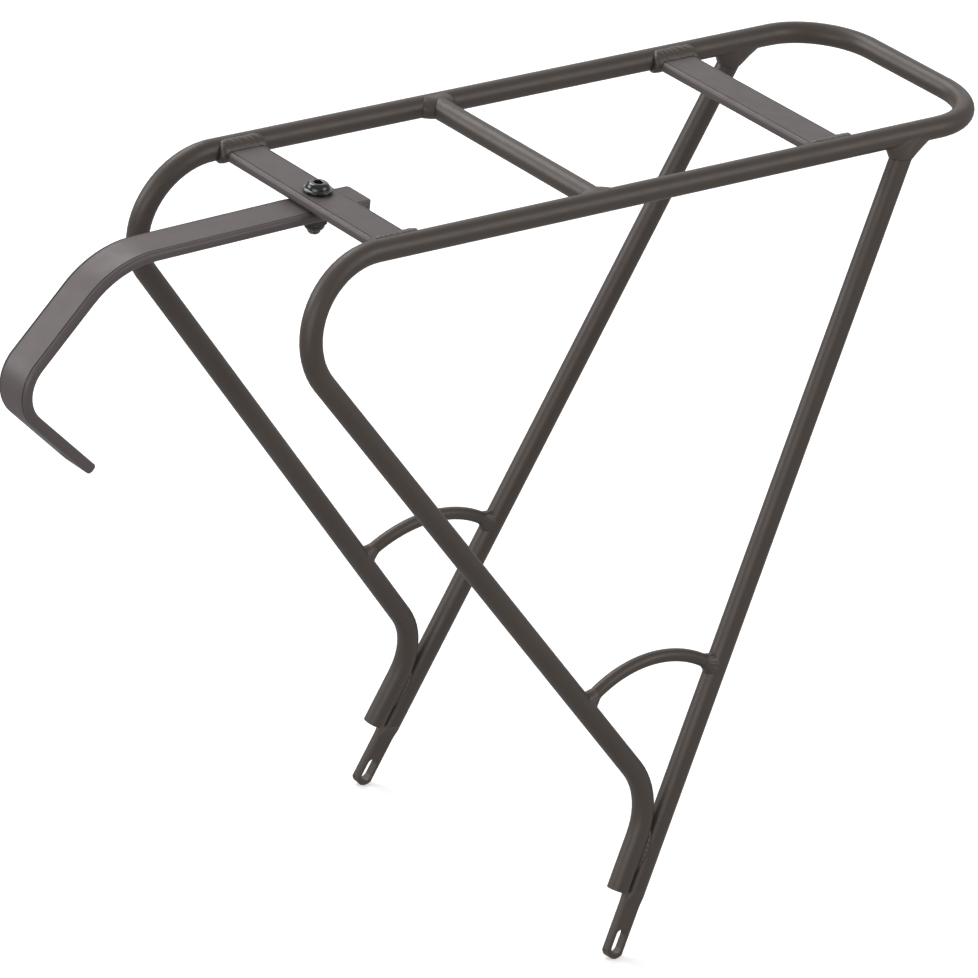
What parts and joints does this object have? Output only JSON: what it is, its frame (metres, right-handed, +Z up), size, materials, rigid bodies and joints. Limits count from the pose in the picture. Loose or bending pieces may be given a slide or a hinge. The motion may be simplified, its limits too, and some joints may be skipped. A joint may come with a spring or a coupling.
{
  "type": "bicycle rear carrier",
  "caption": "Bent-rod bicycle rear carrier: one hoop forms platform and legs, two stays end in slotted eyelets, and a bent flat strut swivels on a clamp bolt.",
  "frame": {"origin": "midway between the centres of the two eyelet slots at the feet of the stays", "axes": "+X towards the rear of the bicycle along the platform, +Y towards the bicycle's right side, +Z up"},
  "size_m": [0.4973, 0.192, 0.3702],
  "materials": {
    "coated_rod": "satin graphite powder coat",
    "coated_weld": "satin graphite powder coat over weld ripples",
    "coated_flat": "satin graphite powder coat",
    "black_steel": "gloss black plated steel"
  },
  "bodies": {
    "frame": {"carrier_hoop": "coated_rod", "stay_left": "coated_rod", "stay_right": "coated_rod", "mid_cross_rod": "coated_rod", "front_cross_bar": "coated_flat", "rear_cross_bar": "coated_flat", "brace_left": "coated_rod", "brace_right": "coated_rod", "stay_gusset_left": "coated_weld", "stay_gusset_right": "coated_weld", "foot_weld_left": "coated_weld", "foot_weld_right": "coated_weld", "brace_leg_weld_left": "coated_weld", "brace_leg_weld_right": "coated_weld", "brace_stay_weld_left": "coated_weld", "brace_stay_weld_right": "coated_weld", "front_bar_weld_left": "coated_weld", "front_bar_weld_right": "coated_weld", "rear_bar_weld_left": "coated_weld", "rear_bar_weld_right": "coated_weld", "mid_rod_weld_left": "coated_weld", "mid_rod_weld_right": "coated_weld", "clamp_bolt": "black_steel", "bolt_washer": "black_steel", "lock_nut": "black_steel"},
    "strut": {"front_strut": "coated_flat"}
  },
  "joints": [
    {"name": "strut_swivel", "type": "hinge", "parent": "frame", "child": "strut", "pos_m": [-0.139, 0, 0.34995], "axis": [0, 0, 1], "range_deg": [-35, 35]}
  ]
}
